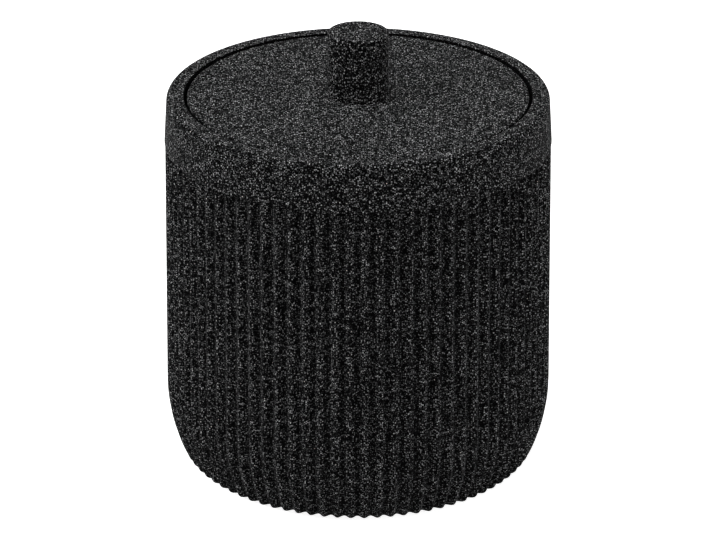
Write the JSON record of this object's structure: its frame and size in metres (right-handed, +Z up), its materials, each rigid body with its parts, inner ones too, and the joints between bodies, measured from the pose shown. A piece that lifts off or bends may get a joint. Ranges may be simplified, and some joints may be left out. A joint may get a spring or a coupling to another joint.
{
  "type": "cotton ball jar",
  "caption": "Round lidded jar with a finely reeded wall that curves in at the foot, a plain band at the rim and a drop-in lid with a cylindrical knob.",
  "frame": {"origin": "on the jar's axis, at the underside of the base pad, where the jar stands", "axes": "+Z up along the jar's axis; -Y towards the front; the object is round, so X and Y are free"},
  "size_m": [0.1, 0.1, 0.1144],
  "materials": {
    "jar_stone": "matt black cast resin with fine pale stone speckles",
    "lid_stone": "matt black cast resin with fine pale stone speckles",
    "pad_foam": "matt black closed-cell foam"
  },
  "bodies": {
    "root": {"jar": "jar_stone", "lid": "lid_stone", "base_pad": "pad_foam"}
  },
  "joints": []
}
